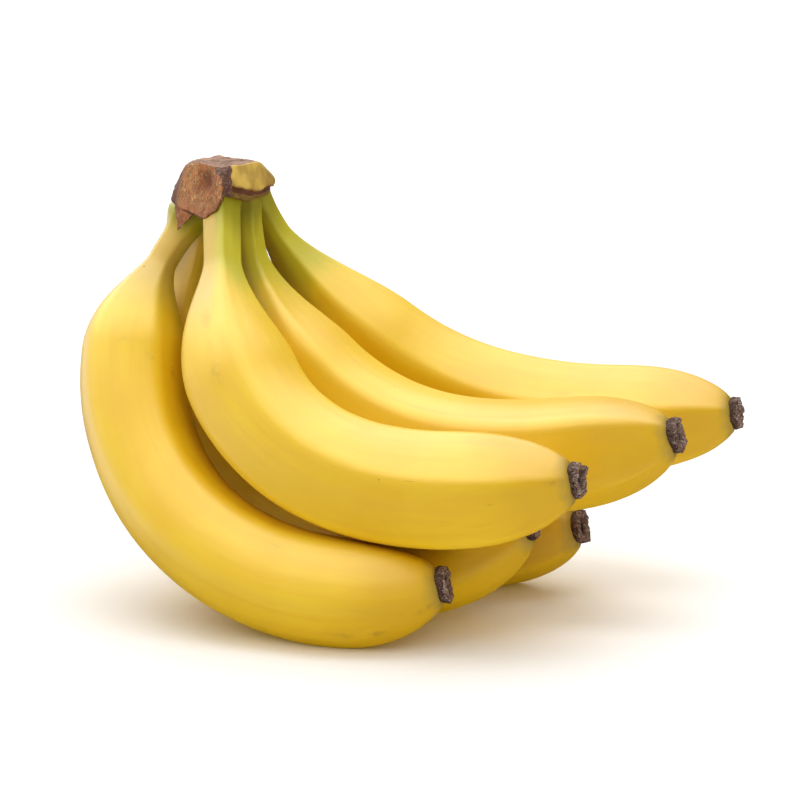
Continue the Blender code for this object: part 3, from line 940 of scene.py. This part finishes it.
def make_crown(look):
    """The woody pad and its torn tongue, made again from fine faces and roughened finish by finish."""
    mesh = remeshed(joined([hull(CUT_BLOCK), hull(SKIN_BLOCK), hull(TONGUE)]), CROWN_GRAIN)
    for _ in range(CROWN_SMOOTHINGS):
        bmesh.ops.smooth_vert(
            mesh, verts=mesh.verts, factor=0.5, use_axis_x=True, use_axis_y=True, use_axis_z=True,
        )
    mesh.normal_update()
    labels = ("top", "skin", "worn", "margin", "strip", "rind", "rim", "shade", "hollow")
    layers = {label: mesh.verts.layers.float.new(label) for label in labels}
    moves = []
    for vert in mesh.verts:
        spot = vert.co.copy()
        zones = crown_zones(spot, vert.normal)
        for label, layer in layers.items():
            vert[layer] = zones[label]
        wood = max(zones["cut"], zones["rind"], zones["top"])
        lumps = LUMP * noise.noise(spot / LUMP_SIZE) + wood * WOOD_LUMP * noise.noise(spot / WOOD_LUMP_SIZE)
        fibres = FIBRE * noise.turbulence(spot / FIBRE_SIZE, 3, True) - FIBRE_SUNK
        grooves = GROOVE * math.sin(GROOVE_TURN * (spot.x + 0.5 * spot.y))
        rise = (
            lumps + wood * fibres + zones["skin"] * (SKIN_RAISED + grooves) - MARGIN_SUNK * zones["margin"]
            - STRIP_SUNK * zones["strip"] - HOLLOW_DEPTH * zones["hollow"]
        )
        moves.append(vert.normal * rise)
    for vert, move in zip(mesh.verts, moves):
        vert.co += move
    return finish(mesh, "woody_crown", look, "crown")


def finish(mesh, name, look, node):
    """Make the piece, in metres, with smooth faces, in place of its node."""
    bmesh.ops.transform(mesh, matrix=Matrix.Scale(MM, 4), verts=mesh.verts)
    data = bpy.data.meshes.new(name)
    mesh.to_mesh(data)
    mesh.free()
    data.shade_smooth()
    data.materials.append(look)
    piece = bpy.data.objects.new(name, data)
    bpy.context.scene.collection.objects.link(piece)
    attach(piece, "root")
    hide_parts(node)
    return piece


def make_floor():
    mesh = bmesh.new()
    bmesh.ops.create_grid(mesh, x_segments=1, y_segments=1, size=FLOOR_HALF)
    data = bpy.data.meshes.new("floor")
    mesh.to_mesh(data)
    mesh.free()
    look, _, shader = new_material("white floor", 0.9, 0.1)
    shader.inputs["Base Color"].default_value = FLOOR_COLOUR
    data.materials.append(look)
    floor = bpy.data.objects.new("floor", data)
    bpy.context.scene.collection.objects.link(floor)
    floor.visible_glossy = False
    floor.visible_shadow = False


def aim(item, place_at, target):
    item.location = place_at
    item.rotation_euler = (target - place_at).to_track_quat("-Z", "Y").to_euler()


def make_sun(name, come_from, size, strength):
    lamp = bpy.data.lights.new(name, "SUN")
    lamp.angle = math.radians(size)
    lamp.energy = strength
    sun = bpy.data.objects.new(name, lamp)
    bpy.context.scene.collection.objects.link(sun)
    aim(sun, CAMERA_TARGET + Vector(come_from), CAMERA_TARGET)
    return sun


def make_studio():
    """A white backdrop, soft lamps for the matt colour, and lamps that show in the gloss alone."""
    world = bpy.data.worlds.new("white studio")
    world.use_nodes = True
    tree = world.node_tree
    ray = place(tree, "ShaderNodeLightPath").outputs
    seen = sums(tree, "MULTIPLY", ray["Is Camera Ray"], BACKDROP_STRENGTH - SKY_STRENGTH)
    gloss = sums(tree, "MULTIPLY", ray["Is Glossy Ray"], SKY_IN_GLOSS - SKY_STRENGTH)
    strength = sums(tree, "ADD", sums(tree, "ADD", seen, gloss), SKY_STRENGTH)
    tree.nodes["Background"].inputs["Color"].default_value = (1.0, 1.0, 1.0, 1.0)
    tree.links.new(strength, tree.nodes["Background"].inputs["Strength"])
    bpy.context.scene.world = world
    for name, settings in SOFT_LIGHTS.items():
        make_sun(name, *settings).visible_glossy = False
    for name, settings in SHINES.items():
        make_sun(name, *settings).visible_diffuse = False


def make_camera():
    lens = bpy.data.cameras.new("camera")
    lens.lens = CAMERA_LENS
    lens.clip_start = 0.01
    camera = bpy.data.objects.new("camera", lens)
    bpy.context.scene.collection.objects.link(camera)
    rise = math.radians(CAMERA_ELEVATION)
    away = Vector((0.0, -math.cos(rise), math.sin(rise))) * CAMERA_DISTANCE
    aim(camera, CAMERA_TARGET + away, CAMERA_TARGET)
    bpy.context.scene.camera = camera


def main():
    # Without a seed the crumpling of the flower ends would differ from run to run.
    noise.seed_set(CRUMPLE_SEED)
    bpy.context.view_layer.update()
    make_camera()
    make_studio()
    make_floor()
    bpy.context.scene.view_settings.view_transform = "Standard"
    patches = patches_group()
    flecks = flecks_group()
    threads = threads_group()
    peel = peel_material(patches, flecks)
    dried = blossom_material(patches, threads)
    make_crown(crown_material(patches, threads))
    spines = {name: Spine(finger) for name, finger in FINGERS.items()}
    for order, (name, spine) in enumerate(spines.items()):
        make_finger(name, spine, spines.values(), order, peel)
        make_blossom_end(name, spine, order, dried)


main()
